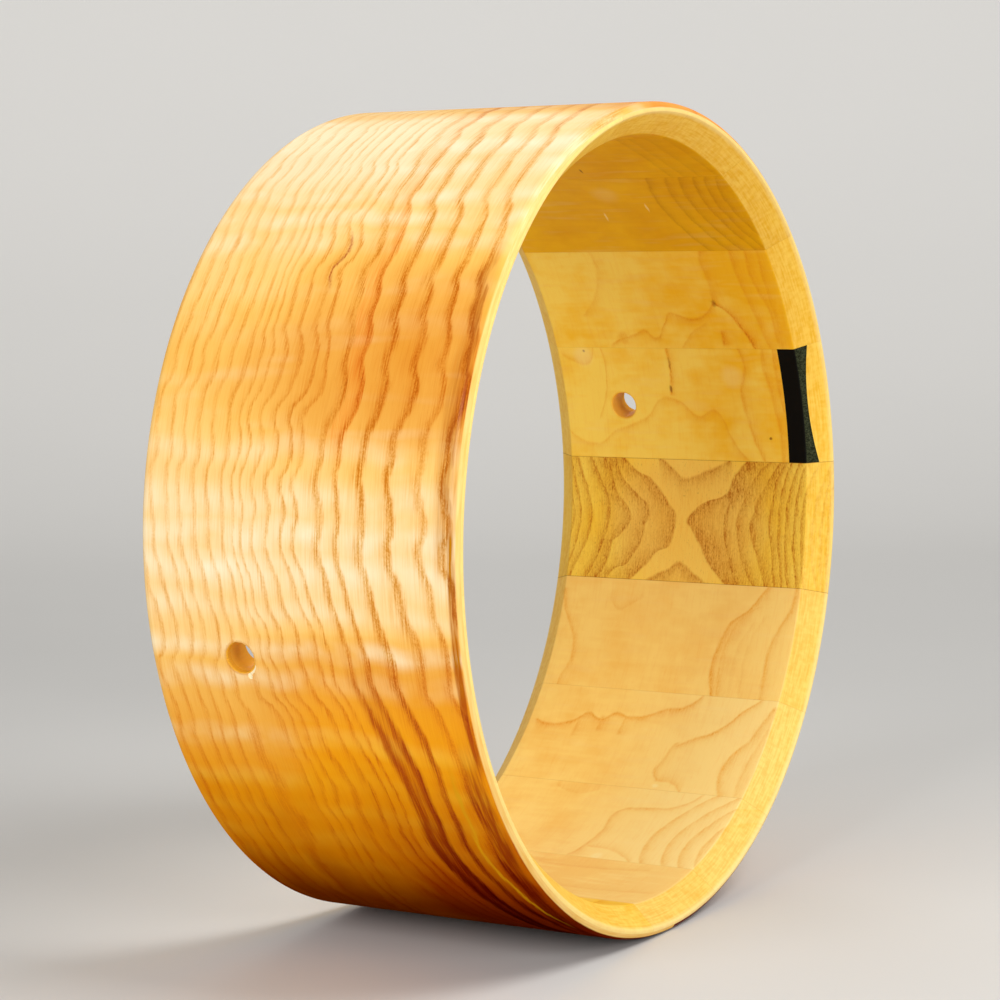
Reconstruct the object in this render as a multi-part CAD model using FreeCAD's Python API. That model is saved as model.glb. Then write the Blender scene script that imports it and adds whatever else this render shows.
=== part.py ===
import FreeCAD, Part
import math
import os

# Stave drum shell: eighteen solid staves glued into a ring, one figured outer ply bent round
# them, bearing edges cut on both ends, two vent holes and a black strip let into one stave.
#
# Lengths are in millimetres and angles in degrees. The drum's axis lies along X, the end that
# faces the viewer is +X, and the shell stands on its side with its lowest line on z = 0.
# Angles round the axis start at +Y, the far side, and turn up towards +Z.

# Shell
outer_diameter = 355.6
shell_depth = 148.0
wall_thickness = 13.6
outer_ply_thickness = 2.6

# Staves
stave_count = 18
first_joint_angle = 4.1
wide_stave_extra = 1.2

# Bearing edges, the same on both ends
roundover_radius = 4.3
inner_cut_depth = 10.2

# Vent holes, one through each side wall
vent_diameter = 12.7
vent_angle = 13.4
far_vent_from_back = 42.1
near_vent_from_back = 44.7
vent_rim_ease = 0.5

# Black strip, let into the inner face of the first stave at the front end
strip_length = 18.8
strip_thickness = 2.2

# Worked out from the sizes above
outer_radius = outer_diameter / 2
inner_radius = outer_radius - wall_thickness
core_radius = outer_radius - outer_ply_thickness
crest_radius = outer_radius - roundover_radius
half_depth = shell_depth / 2
vent_radius = vent_diameter / 2
even_stave_angle = (360.0 - wide_stave_extra) / stave_count
wide_stave_angle = even_stave_angle + wide_stave_extra

# A cutting tool runs this far past the material that it cuts
overrun = 5.0

AXIS = FreeCAD.Vector(1, 0, 0)
CENTRE = FreeCAD.Vector(0, 0, 0)
STAND = FreeCAD.Vector(0, 0, outer_radius)


def at(x, radius, angle=0.0):
    """The point at this place along the axis, distance from it and angle round it."""
    turn = math.radians(angle)
    return FreeCAD.Vector(x, radius * math.cos(turn), radius * math.sin(turn))


def outward(angle):
    """The direction that points straight out of the wall at this angle."""
    return at(0.0, 1.0, angle)


def wall_section():
    """The wall cut along the axis: a quarter-round outside each crest, a sloping cut inside."""
    slant = 1.0 - math.sqrt(0.5)
    lines = []
    corners = {}
    for end in (-1, 1):
        inner = at(end * (half_depth - inner_cut_depth), inner_radius)
        crest = at(end * half_depth, crest_radius)
        round_middle = at(
            end * (half_depth - roundover_radius * slant),
            outer_radius - roundover_radius * slant,
        )
        shoulder = at(end * (half_depth - roundover_radius), outer_radius)
        lines.append(Part.makeLine(inner, crest))
        lines.append(Part.Arc(crest, round_middle, shoulder).toShape())
        corners[end] = (inner, shoulder)
    for inside, outside in zip(corners[-1], corners[1]):
        lines.append(Part.makeLine(inside, outside))
    return Part.Face(Part.Wire(Part.__sortEdges__(lines)))


def wall_sector(start, span):
    """The whole wall from one angle round to another."""
    section = wall_section()
    section.rotate(CENTRE, AXIS, start)
    return section.revolve(CENTRE, AXIS, span)


def core_cylinder():
    """Everything inside the glue line between the staves and the outer ply."""
    length = shell_depth + 2 * overrun
    return Part.makeCylinder(core_radius, length, at(-length / 2, 0.0), AXIS)


def vent_tool(from_back, angle):
    """A drill through one wall, with both rims of its hole eased."""
    x = from_back - half_depth
    start = inner_radius - overrun
    length = wall_thickness + 2 * overrun
    way = outward(angle)
    drill = Part.makeCylinder(vent_radius, length, at(x, start, angle), way)
    rim = vent_radius + vent_rim_ease
    wide = rim + overrun
    # the rim of a hole through a curved wall dips away from the middle of the hole
    dip = outer_radius - math.sqrt(outer_radius**2 - vent_radius**2)
    outer_start = at(x, outer_radius - dip / 2 - vent_rim_ease, angle)
    outer_ease = Part.makeCone(vent_radius, wide, wide - vent_radius, outer_start, way)
    inner_start = at(x, inner_radius - dip / 2 + vent_rim_ease, angle)
    inner_ease = Part.makeCone(
        vent_radius, wide, wide - vent_radius, inner_start, way.negative()
    )
    return drill.multiFuse([outer_ease, inner_ease])


def strip_space(angle):
    """The flat-bottomed rebate for the black strip, cut square across the stave at this angle."""
    width = 2 * outer_radius * math.sin(math.radians(even_stave_angle))
    floor_radius = inner_radius + strip_thickness
    depth = strip_thickness + overrun + inner_radius * (
        1 - math.cos(math.radians(even_stave_angle))
    )
    length = strip_length + overrun
    rebate = Part.makeBox(
        length,
        depth,
        width,
        FreeCAD.Vector(half_depth - strip_length, floor_radius - depth, -width / 2),
    )
    rebate.rotate(CENTRE, AXIS, angle)
    return rebate


def stave_angles():
    """Start and span of each stave. The last one is a little wider than the others."""
    angles = []
    start = first_joint_angle
    for _ in range(stave_count - 1):
        angles.append((start, even_stave_angle))
        start += even_stave_angle
    angles.append((start, wide_stave_angle))
    return angles


def make_parts():
    """Every separate piece of wood by name, about the drum's own centre."""
    vents = [
        vent_tool(far_vent_from_back, vent_angle),
        vent_tool(near_vent_from_back, vent_angle + 180.0),
    ]
    core = core_cylinder()
    parts = {}
    for number, (start, span) in enumerate(stave_angles(), 1):
        stave = wall_sector(start, span).common(core)
        if number == 1:
            rebate = strip_space(start + span / 2)
            parts["edge_inlay"] = stave.common(rebate)
            stave = stave.cut(rebate)
        parts[f"stave_{number:02d}"] = stave.cut(vents)
    wall = wall_sector(first_joint_angle, 360.0)
    parts["outer_ply"] = wall.cut([core, *vents])
    return parts


def main():
    os.makedirs("parts", exist_ok=True)
    for name, shape in sorted(make_parts().items()):
        solids = shape.Solids
        whole = solids[0] if len(solids) == 1 else Part.makeCompound(solids)
        whole.translate(STAND)
        whole.exportStep(f"parts/{name}.step")
        print(name, len(solids), "solid", round(whole.Volume), "mm3", whole.isValid())


main()
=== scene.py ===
# A stave drum shell standing on its side: eighteen maple-like staves, one figured outer ply bent
# round them, and a black strip let into one stave. Lengths are in metres, or in millimetres where
# a name ends in _mm, and angles in degrees. The axis lies along X and the front end is +X.
# Angles round the axis start at +Y, the far side, and turn up towards +Z.

import math
from contextlib import contextmanager

import bmesh
import bpy
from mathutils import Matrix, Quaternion, Vector


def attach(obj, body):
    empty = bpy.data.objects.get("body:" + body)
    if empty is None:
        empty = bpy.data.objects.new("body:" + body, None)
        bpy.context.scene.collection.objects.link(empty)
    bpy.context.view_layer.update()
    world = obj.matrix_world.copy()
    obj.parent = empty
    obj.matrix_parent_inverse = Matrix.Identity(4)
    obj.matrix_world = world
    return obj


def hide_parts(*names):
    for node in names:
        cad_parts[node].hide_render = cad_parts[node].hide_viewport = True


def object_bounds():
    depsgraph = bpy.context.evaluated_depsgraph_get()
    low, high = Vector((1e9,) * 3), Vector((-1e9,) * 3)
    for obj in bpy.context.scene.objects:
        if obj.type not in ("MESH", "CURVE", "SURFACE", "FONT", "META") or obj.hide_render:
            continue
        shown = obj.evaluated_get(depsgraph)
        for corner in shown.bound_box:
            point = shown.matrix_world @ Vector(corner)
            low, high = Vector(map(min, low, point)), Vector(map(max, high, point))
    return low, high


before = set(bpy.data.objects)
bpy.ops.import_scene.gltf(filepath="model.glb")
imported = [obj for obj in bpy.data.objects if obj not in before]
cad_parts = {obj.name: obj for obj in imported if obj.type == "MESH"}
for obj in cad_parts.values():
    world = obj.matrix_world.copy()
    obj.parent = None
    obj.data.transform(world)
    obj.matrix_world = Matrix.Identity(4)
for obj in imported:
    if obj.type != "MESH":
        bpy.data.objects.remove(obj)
cad_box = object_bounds()

# Read from the frame
shell_low, shell_high = cad_box
OUTER_RADIUS = (shell_high[2] - shell_low[2]) / 2
AXIS_HEIGHT = (shell_high[2] + shell_low[2]) / 2
HALF_DEPTH = shell_high[0]

# The wall
WALL = 0.0136
PLY = 0.0026
INNER_RADIUS = OUTER_RADIUS - WALL
CORE_RADIUS = OUTER_RADIUS - PLY
ROUNDOVER = 0.0043
CREST_RADIUS = OUTER_RADIUS - ROUNDOVER
INNER_CUT = 0.0102
CREST_EASE = 0.0003
BEVEL_EASE = 0.0005
JOINT_EASE = 0.00006

# The staves
STAVE_COUNT = 18
FIRST_JOINT = 4.1
WIDE_STAVE_EXTRA = 1.2
EVEN_STAVE = (360.0 - WIDE_STAVE_EXTRA) / STAVE_COUNT
WIDE_STAVE = EVEN_STAVE + WIDE_STAVE_EXTRA

# The vent holes
VENT_RADIUS = 0.00635
VENT_EASE = 0.0005
VENT_ANGLE = 13.4
FAR_VENT_X = -0.0319
NEAR_VENT_X = -0.0293
OVERRUN = 0.005

# The black strip
STRIP_LENGTH = 0.0188
STRIP_THICKNESS = 0.0022
STRIP_EASE = 0.00012

MM = 1000.0


# Modelling helpers


def deselect():
    bpy.ops.object.select_all(action="DESELECT")


def make_active(piece):
    deselect()
    piece.select_set(True)
    bpy.context.view_layer.objects.active = piece


def added(name):
    """The primitive that was just added, named, with its place moved into its mesh."""
    piece = bpy.context.object
    piece.name = name
    piece.data.name = name
    bpy.ops.object.transform_apply(location=True, rotation=True, scale=True)
    return piece


@contextmanager
def editing(piece, kind="VERT"):
    """Edit mode on one piece, with everything selected at the start."""
    make_active(piece)
    bpy.ops.object.mode_set(mode="EDIT")
    bpy.ops.mesh.select_mode(type=kind)
    bpy.ops.mesh.select_all(action="SELECT")
    yield
    bpy.ops.object.mode_set(mode="OBJECT")


def pick(piece, parts, test):
    """In edit mode, selects only the vertices, edges or faces that pass the test."""
    bpy.ops.mesh.select_all(action="DESELECT")
    shape = bmesh.from_edit_mesh(piece.data)
    for part in getattr(shape, parts):
        if test(part):
            part.select_set(True)
    bmesh.update_edit_mesh(piece.data)


def copied(piece, name):
    """A copy with its own mesh."""
    twin = piece.copy()
    twin.data = piece.data.copy()
    twin.name = name
    twin.data.name = name
    bpy.context.scene.collection.objects.link(twin)
    return twin


def turned(piece, angle):
    """Turns the piece about the drum's axis, then moves the turn into its mesh."""
    make_active(piece)
    piece.rotation_euler.x = math.radians(angle)
    bpy.ops.object.transform_apply(location=True, rotation=True, scale=True)
    return piece


def cut(piece, tool, operation="DIFFERENCE"):
    """Cuts the piece with a tool, which stays for other cuts."""
    make_active(piece)
    cutter = piece.modifiers.new("cut", "BOOLEAN")
    cutter.operation = operation
    cutter.solver = "EXACT"
    cutter.object = tool
    bpy.ops.object.modifier_apply(modifier=cutter.name)


def smooth(piece, angle=32.0):
    make_active(piece)
    bpy.ops.object.shade_smooth_by_angle(angle=math.radians(angle))


def near(value, target, slack=1e-5):
    return abs(value - target) < slack


# The wall's section and what is spun from it


def wall_section(name):
    """The wall cut along the axis, flat in the XY plane with the distance from the axis along Y.

    Each end has a quarter-round outside its crest and a sloping cut inside it.
    """
    deselect()
    middle = (INNER_RADIUS + OUTER_RADIUS) / 2
    bpy.ops.mesh.primitive_plane_add(size=1.0, location=(0.0, middle, 0.0))
    section = added(name)
    with editing(section):
        bpy.ops.transform.resize(value=(2 * HALF_DEPTH, WALL, 1.0))
        for end in (-1, 1):
            low = Vector((end * (HALF_DEPTH - INNER_CUT), INNER_RADIUS, 0.0))
            crest = Vector((end * HALF_DEPTH, CREST_RADIUS, 0.0))
            slope = (crest - low).normalized()
            bpy.ops.mesh.select_all(action="SELECT")
            bpy.ops.mesh.bisect(
                plane_co=low,
                plane_no=Vector((slope.y * end, -slope.x * end, 0.0)),
                clear_outer=True,
            )
        round_vertices(section, lambda v: near(v.co.y, OUTER_RADIUS), ROUNDOVER, 12)
        bpy.ops.mesh.select_all(action="SELECT")
        bpy.ops.mesh.remove_doubles(threshold=0.0001)
        at_crest = lambda v: near(v.co.y, CREST_RADIUS, 1e-4) and near(abs(v.co.x), HALF_DEPTH)
        round_vertices(section, at_crest, CREST_EASE, 3)
        round_vertices(section, lambda v: near(v.co.y, INNER_RADIUS), BEVEL_EASE, 3)
    return section


def round_vertices(piece, test, size, segments):
    """In edit mode, rounds the corners of a flat outline."""
    pick(piece, "verts", test)
    bpy.ops.mesh.bevel(affect="VERTICES", offset=size, segments=segments)


def part_at_glue_line(section, keep_outside):
    """Keeps what is outside the glue line, the ply, or what is inside it, the staves."""
    with editing(section):
        bpy.ops.mesh.bisect(
            plane_co=(0.0, CORE_RADIUS, 0.0),
            plane_no=(0.0, 1.0, 0.0),
            clear_inner=keep_outside,
            clear_outer=not keep_outside,
        )


def divide_long_edges(section, pieces):
    """Divides the section's long straight edges, so that the spun faces are small."""
    long = lambda e: e.calc_length() > HALF_DEPTH
    pick(section, "edges", long)
    bpy.ops.mesh.subdivide(number_cuts=pieces - 1)


def spin(angle, steps):
    """In edit mode, spins the selection up round the drum's axis from +Y."""
    bpy.ops.mesh.spin(
        steps=steps, angle=math.radians(angle), center=(0.0, 0.0, 0.0), axis=(-1.0, 0.0, 0.0)
    )


def tidy_faces():
    """In edit mode, closes the seam of a spun shape and turns its faces outwards."""
    bpy.ops.mesh.select_all(action="SELECT")
    bpy.ops.mesh.remove_doubles(threshold=2e-6)
    bpy.ops.mesh.normals_make_consistent(inside=False)


def ply_ring(name):
    """The outer ply without its holes: the section's outline spun right round."""
    ring = wall_section(name)
    part_at_glue_line(ring, keep_outside=True)
    with editing(ring, "EDGE"):
        divide_long_edges(ring, 40)
        pick(ring, "edges", lambda e: len(e.link_faces) > 1)
        bpy.ops.mesh.dissolve_edges(use_verts=False)
        bpy.ops.mesh.select_all(action="SELECT")
        bpy.ops.mesh.delete(type="ONLY_FACE")
        bpy.ops.mesh.select_all(action="SELECT")
        spin(360.0, 360)
        tidy_faces()
    return ring


def stave_blank(name, span):
    """One stave from angle 0 up to its span, with its joint edges just eased."""
    blank = wall_section(name)
    part_at_glue_line(blank, keep_outside=False)
    on_end = lambda v: near(v.co.z * math.cos(turn), v.co.y * math.sin(turn), 2e-6)
    with editing(blank, "EDGE"):
        divide_long_edges(blank, 24)
        bpy.ops.mesh.select_all(action="SELECT")
        spin(span, round(span))
        tidy_faces()
        for turn in (0.0, math.radians(span)):
            pick(
                blank,
                "edges",
                lambda e: all(
                    on_end(v) and math.hypot(v.co.y, v.co.z) < CORE_RADIUS - 1e-5 for v in e.verts
                ),
            )
            bpy.ops.mesh.bevel(affect="EDGES", offset=JOINT_EASE, segments=1)
    return blank


# Tools for the holes and the strip


def vent_cutter(name, x, angle, roughness):
    """A drill through the wall that flares at both rims. Its outer rim can be ragged."""
    deselect()
    middle = (INNER_RADIUS + OUTER_RADIUS) / 2
    straight = WALL - 2 * VENT_EASE
    bpy.ops.mesh.primitive_cylinder_add(
        vertices=80,
        radius=VENT_RADIUS,
        depth=straight,
        location=(x, middle, 0.0),
        rotation=(math.radians(90.0), 0.0, 0.0),
    )
    drill = added(name)
    flare = (VENT_RADIUS + OVERRUN) / VENT_RADIUS
    with editing(drill, "FACE"):
        for way in (-1, 1):
            pick(drill, "faces", lambda f: f.normal.y * way > 0.9)
            bpy.ops.mesh.extrude_region_move(
                TRANSFORM_OT_translate={"value": (0.0, way * OVERRUN, 0.0)}
            )
            end = middle + way * (straight / 2 + OVERRUN)
            bpy.ops.transform.resize(value=(flare, 1.0, flare), center_override=(x, end, 0.0))
        bpy.ops.mesh.select_mode(type="VERT")
        pick(drill, "verts", lambda v: near(v.co.y, middle + straight / 2))
        bpy.ops.transform.vertex_random(offset=roughness, uniform=0.2, normal=0.0, seed=5)
    return turned(drill, angle)


def splinter_cutter(name, x, angle, size, lean):
    """A torn splinter's hollow beside a hole: a long, low, pointed lump laid along the grain."""
    deselect()
    bpy.ops.mesh.primitive_ico_sphere_add(
        subdivisions=2, radius=1.0, location=(x, OUTER_RADIUS, 0.0), scale=size
    )
    lump = added(name)
    with editing(lump):
        bpy.ops.transform.vertex_random(offset=size[0] * 0.25, uniform=0.3, normal=0.0, seed=11)
        bpy.ops.transform.rotate(
            value=math.radians(lean), orient_axis="Y", center_override=(x, OUTER_RADIUS, 0.0)
        )
    return turned(lump, angle)


def strip_cutter(name):
    """The flat-bottomed rebate for the black strip, square across the first stave."""
    deselect()
    length = STRIP_LENGTH + OVERRUN
    depth = STRIP_THICKNESS + 2 * OVERRUN
    width = 2 * OUTER_RADIUS * math.sin(math.radians(EVEN_STAVE))
    bpy.ops.mesh.primitive_cube_add(
        size=1.0,
        location=(
            HALF_DEPTH - STRIP_LENGTH + length / 2,
            INNER_RADIUS + STRIP_THICKNESS - depth / 2,
            0.0,
        ),
        scale=(length, depth, width),
    )
    return turned(added(name), FIRST_JOINT + EVEN_STAVE / 2)


# Material helpers


class Value:
    """A number or colour that varies over a surface. Python's arithmetic adds Math nodes."""

    def __init__(self, finish, socket):
        self.finish = finish
        self.socket = socket

    def maths(self, operation, *others, clamp=False):
        inputs = dict(enumerate((self, *others)))
        settings = {"operation": operation, "use_clamp": clamp}
        return self.finish.node("ShaderNodeMath", settings, inputs)

    def __add__(self, other):
        return self.maths("ADD", other)

    def __sub__(self, other):
        return self.maths("SUBTRACT", other)

    def __mul__(self, other):
        return self.maths("MULTIPLY", other)

    def __truediv__(self, other):
        return self.maths("DIVIDE", other)

    def __pow__(self, other):
        return self.maths("POWER", other)

    def __rsub__(self, other):
        return self.finish.node("ShaderNodeMath", {"operation": "SUBTRACT"}, {0: other, 1: self})

    __radd__ = __add__
    __rmul__ = __mul__

    def __neg__(self):
        return self * -1.0

    def __abs__(self):
        return self.maths("ABSOLUTE")

    def at_most(self, other):
        return self.maths("MINIMUM", other)

    def at_least(self, other):
        return self.maths("MAXIMUM", other)

    def fraction(self):
        return self.maths("FRACT")

    def exp(self):
        return self.maths("EXPONENT")

    def clamped(self):
        return self.maths("ADD", 0.0, clamp=True)

    def rise(self, low, high):
        """0 up to low, 1 from high on, and a smooth step between them. It falls if high < low."""
        if high < low:
            return 1.0 - self.rise(high, low)
        settings = {"interpolation_type": "SMOOTHSTEP"}
        inputs = {"Value": self, "From Min": low, "From Max": high}
        return self.finish.node("ShaderNodeMapRange", settings, inputs)

    def bump_at(self, place, reach):
        """1 at the place, falling smoothly to 0 at the reach on both sides of it."""
        return abs(self - place).rise(reach, 0.0)


class Finish:
    """One material and its node tree."""

    def __init__(self, name):
        self.material = bpy.data.materials.new(name)
        self.material.use_nodes = True
        self.tree = self.material.node_tree
        self.tree.nodes.clear()
        place = self.node("ShaderNodeTexCoord", output="Object")
        self.x = self.part_of(place, "X") * MM
        self.y = self.part_of(place, "Y") * MM
        self.z = (self.part_of(place, "Z") - AXIS_HEIGHT) * MM
        self.radius = (self.y * self.y + self.z * self.z) ** 0.5

    def node(self, kind, settings=None, inputs=None, output=0):
        """Adds a node: its settings first, then the value or link of each socket."""
        node = self.tree.nodes.new(kind)
        for name, setting in (settings or {}).items():
            if name == "points":
                self.set_curve(node, setting)
            else:
                setattr(node, name, setting)
        for key, value in (inputs or {}).items():
            if isinstance(value, Value):
                self.tree.links.new(value.socket, node.inputs[key])
            else:
                node.inputs[key].default_value = value
        return None if output is None else Value(self, node.outputs[output])

    @staticmethod
    def set_curve(node, points):
        """Gives a Float Curve node its points, which lie in 0 to 1 both ways."""
        curve = node.mapping.curves[0]
        for end, point in zip((0, -1), (points[0], points[-1])):
            curve.points[end].location = point
        for point in points[1:-1]:
            curve.points.new(*point)
        node.mapping.update()

    def part_of(self, vector, axis):
        return self.node("ShaderNodeSeparateXYZ", inputs={0: vector}, output=axis)

    def vector(self, x, y, z):
        return self.node("ShaderNodeCombineXYZ", inputs={0: x, 1: y, 2: z})

    def noise(self, x, y, z, detail=2.0):
        """Soft noise from about -1 to 1, with features about one unit long."""
        inputs = {"Vector": self.vector(x, y, z), "Scale": 1.0, "Detail": detail}
        raw = self.node("ShaderNodeTexNoise", {"noise_dimensions": "3D"}, inputs)
        return raw * 2.0 - 1.0

    def grain_noise(self, along_mm, round_mm, shift=0.0, detail=2.0):
        """Noise whose features are so long along the axis and so long round the drum."""
        along = self.x / along_mm + shift
        return self.noise(along, self.y / round_mm + shift, self.z / round_mm, detail)

    def angle_from(self, middle):
        """Degrees round the axis from the middle angle, from -180 to 180."""
        turn = math.radians(middle)
        out = self.y * math.cos(turn) + self.z * math.sin(turn)
        side = self.z * math.cos(turn) - self.y * math.sin(turn)
        return side.maths("ARCTAN2", out) * math.degrees(1.0)

    def curve(self, value, points, low, high, bottom=None, top=None):
        """A smooth line through points, read at a value. The points lie from low to high along,
        and from bottom to top in height, or from low to high if those aren't given."""
        bottom = low if bottom is None else bottom
        top = high if top is None else top
        shares = [
            ((a - low) / (high - low), (b - bottom) / (top - bottom)) for a, b in sorted(points)
        ]
        place = (value - low) / (high - low)
        read = self.node("ShaderNodeFloatCurve", {"points": shares}, {"Value": place})
        return read * (top - bottom) + bottom

    def hole_distance(self, hole_angle, hole_x, radius_mm):
        """Millimetres from the middle of a vent hole, measured along the wall."""
        round_way = self.angle_from(hole_angle) * math.radians(radius_mm)
        along = self.x - hole_x * MM
        return (round_way * round_way + along * along) ** 0.5

    def mix(self, share, first, second, blend="MIX"):
        """A colour between two others."""
        settings = {"data_type": "RGBA", "blend_type": blend, "clamp_factor": True}
        return self.node("ShaderNodeMix", settings, {0: share, 6: first, 7: second}, output=2)

    def bump(self, height_mm):
        """Relief of so many millimetres."""
        inputs = {"Height": height_mm, "Distance": 1.0 / MM, "Strength": 1.0}
        return self.node("ShaderNodeBump", inputs=inputs, output="Normal")

    def surface(self, varying, constant):
        """The shader itself. Constant values are set on its own sockets."""
        shader = self.node(
            "ShaderNodeBsdfPrincipled", inputs={**constant, **varying}, output="BSDF"
        )
        self.node("ShaderNodeOutputMaterial", inputs={"Surface": shader}, output=None)
        return self.material


def colour(red, green, blue):
    """A colour written as on a screen, from 0 to 255, as the shader takes it."""
    linear = [((c / 255 + 0.055) / 1.055) ** 2.4 for c in (red, green, blue)]
    return (*linear, 1.0)


# The outer ply's finish

CREAM_ASH = colour(254, 218, 156)
PALE_ASH = colour(252, 200, 102)
GOLD_ASH = colour(228, 152, 50)
AMBER_ASH = colour(248, 166, 0)
LINE_TINT = colour(243, 206, 137)
HEAVY_TINT = colour(220, 198, 150)
HEART_TINT = colour(196, 140, 30)
ROSE_TINT = colour(255, 196, 140)
DASH_TINT = colour(186, 112, 80)
STREAK_TINT = colour(188, 136, 10)
# painted shade towards the foot of the drum, in two depths
LOWER_SHADE_TINT = colour(176, 114, 20)
FOOT_SHADE_TINT = colour(134, 62, 2)
PORE_BROWN = colour(110, 58, 4)
# the curl's pale bands, partly painted sheen
RIPPLE_GOLD = colour(254, 196, 44)
RIPPLE_CREAM = colour(255, 245, 216)
BORE_BROWN = colour(234, 170, 50)
RIM_OCHRE = colour(214, 142, 34)
SPLINTER_CREAM = colour(255, 236, 190)
CUT_CREAM = colour(250, 210, 130)
CUT_GOLD = colour(238, 184, 88)
GLINT_GOLD = colour(216, 158, 16)

# Growth rings on the outer ply: their places along the axis in millimetres, 126 degrees round
RING_PLACES = (
    -98, -91, -84, -76, -69, -61.5, -55.5, -48.5, -42, -34.5, -29, -24.5, -18, -11, -4.5, 0, 8.5, 16,
    27.5, 40, 51.5, 61.5, 79, 90, 98,
)
RING_REACH = 100.0

# How far the rings are carried towards the front on the near side, compared with that angle:
# degrees round, then millimetres, for the rings near the front, in the middle and at the back
FRONT_WAVE = (
    (92, -13), (95, -11.5), (100, -8.7), (105, -6), (110, -5), (115, -1.7), (118, -1.3), (121, -0.3),
    (126, 0), (129, -0.6), (131, 2), (133, 3.7), (137, 5), (140, 5), (143, 4.3), (145, 5.5), (148, 5.8),
    (152, 8), (155, 7.4), (158, 9.3), (160, 8.6), (163, 5.5), (165, 3.8), (168, 3.2), (170, 2.4),
    (173, 4), (176, 5.4), (178.5, 4), (182, 6.6), (185, 8.4), (187, 10.2), (190, 13), (193, 14.9),
    (195, 14.6), (197, 16.3), (200, 19.7), (203, 22), (205, 23.4), (208, 26.4), (211, 28), (215, 28.2),
    (218, 27.2), (221, 26.6), (224, 27.4),
)
MIDDLE_WAVE = (
    (92, -15), (95, -14), (100, -11.5), (105, -9), (110, -7), (115, -5.6), (118, -5.2), (120, -4.5),
    (123, -1.2), (126, 0), (129, -0.4), (131, -0.8), (133, -2.5), (135, -0.7), (138, 1.2), (140, 0.7),
    (142, -1), (145, 0.8), (150, 1), (152, 3.4), (155, 4.9), (158, 3.8), (160, 1.5), (162, -1.2),
    (165, 0.8), (168, 0.6), (171, -2.2), (174, -0.2), (177, -1.6), (180, 0.2), (182, 2.3), (185, 4),
    (187, 6.5), (190, 10), (192, 9.6), (195, 12.2), (198, 13), (200, 17), (203, 19.6), (206, 19.3),
    (210, 21.6), (215, 20.8), (220, 21.8), (224, 21),
)
BACK_WAVE = (
    (92, -12), (95, -11), (100, -9), (105, -6.5), (110, -4.3), (115, -1.3), (118, -0.9), (121, -0.1),
    (125, 0), (128, 0.8), (130, 2.5), (135, 4.4), (140, 5), (145, 5.4), (150, 4.3), (153, 3), (156, 3.8),
    (160, 0.5), (163, 0.1), (167, 2), (170, -0.1), (174, 1.6), (178, 2.6), (182, 5.5), (185, 7.2),
    (188, 9.5), (190, 10.4), (193, 9.8), (195, 6.8), (198, 7.6), (203, 9.6), (206, 8.3), (210, 9.6),
    (215, 10), (224, 9),
)
WAVE_START = 92.0
WAVE_END = 224.0
WAVE_LOW = -20.0
WAVE_HIGH = 35.0

# How dark each ring is, from 0 to 100: its place, as above, then its share
RING_DARKNESS = (
    (-98, 42), (-60, 42), (-30, 44), (-12, 50), (0, 58), (8.5, 64), (16, 76), (22, 74), (27.5, 80),
    (34, 66), (40, 68), (51.5, 68), (61.5, 76), (80, 64), (98, 60),
)

# How golden the ash is round the drum, from 0, cream, to 100: degrees round, then share.
# It is partly the ash's own tone and partly painted light and shade: creamiest where highlights
# fall near 118 and 180 degrees, most golden where light falls off near the top and at the foot.
GOLD_ROUND = (
    (-90, 70), (-20, 55), (60, 45), (94, 62), (102, 44), (108, 16), (118, 4), (126, 6), (132, 26),
    (140, 52), (148, 76), (156, 88), (163, 72), (168, 40), (174, 20), (180, 6), (186, 14), (190, 50),
    (195, 78), (202, 92), (212, 98), (235, 98), (270, 70),
)
ROUND_LOW = -100.0
ROUND_HIGH = 300.0

# Ripples across the grain: the angle, half width in degrees and strength of each plain one.
# They are the curl's own figure, their pale bands partly painted sheen.
RIPPLES = (
    (98.0, 1.8, 0.4), (106.5, 2.4, 0.6), (116.5, 2.8, 0.9), (122.3, 2.0, 0.8), (128.6, 1.3, 0.7),
    (133.0, 1.3, 0.7), (137.0, 1.6, 0.5), (144.5, 1.2, 0.1), (150.5, 1.3, 0.1), (166.5, 1.4, 0.4),
    (173.0, 1.8, 0.7), (177.2, 1.7, 0.9), (181.5, 1.9, 1.0), (187.0, 1.2, 0.5), (191.8, 1.1, 1.0),
    (196.0, 1.2, 0.7), (204.8, 1.4, 1.0), (211.5, 1.3, 0.9), (217.0, 1.3, 0.6), (223.0, 1.6, 0.7),
    (229.0, 1.5, 0.5),
)


def ring_place(wood, angle):
    """Where a point lies among the rings, which are carried up and down as they go round."""
    # down the far side they come back to where they are at the foot
    far_side = angle.rise(60.0, -90.0)
    front, middle, back = (
        wood.curve(angle, points, WAVE_START, WAVE_END, WAVE_LOW, WAVE_HIGH)
        + far_side * (points[-1][1] - points[0][1])
        for points in (FRONT_WAVE, MIDDLE_WAVE, BACK_WAVE)
    )
    x = wood.x
    carried = middle + (front - middle) * x.rise(-10.0, 20.0)
    carried = carried + (back - middle) * x.rise(-14.0, -38.0)
    unmeasured = angle.rise(100.0, 86.0) + angle.rise(234.0, 262.0)
    hump = abs(wood.grain_noise(95.0, 26.0, 3.0, detail=0.0)) * 8.0 * unmeasured
    ruffle = wood.grain_noise(40.0, 12.0, 5.3, detail=0.0) * (1.3 + 1.6 * unmeasured)
    feather = wood.grain_noise(7.0, 5.0, 1.0) * 0.6 + wood.grain_noise(0.8, 8.0, 5.0) * 1.1
    stretch = x.rise(42.0, 62.0) * angle.rise(150.0, 172.0) * angle.rise(196.0, 186.0) * 3.0
    stretch = stretch - x.rise(38.0, 55.0) * (angle.rise(203.0, 212.0) + far_side) * 4.0
    return x - carried - stretch - hump - ruffle + feather - 0.7


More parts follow.
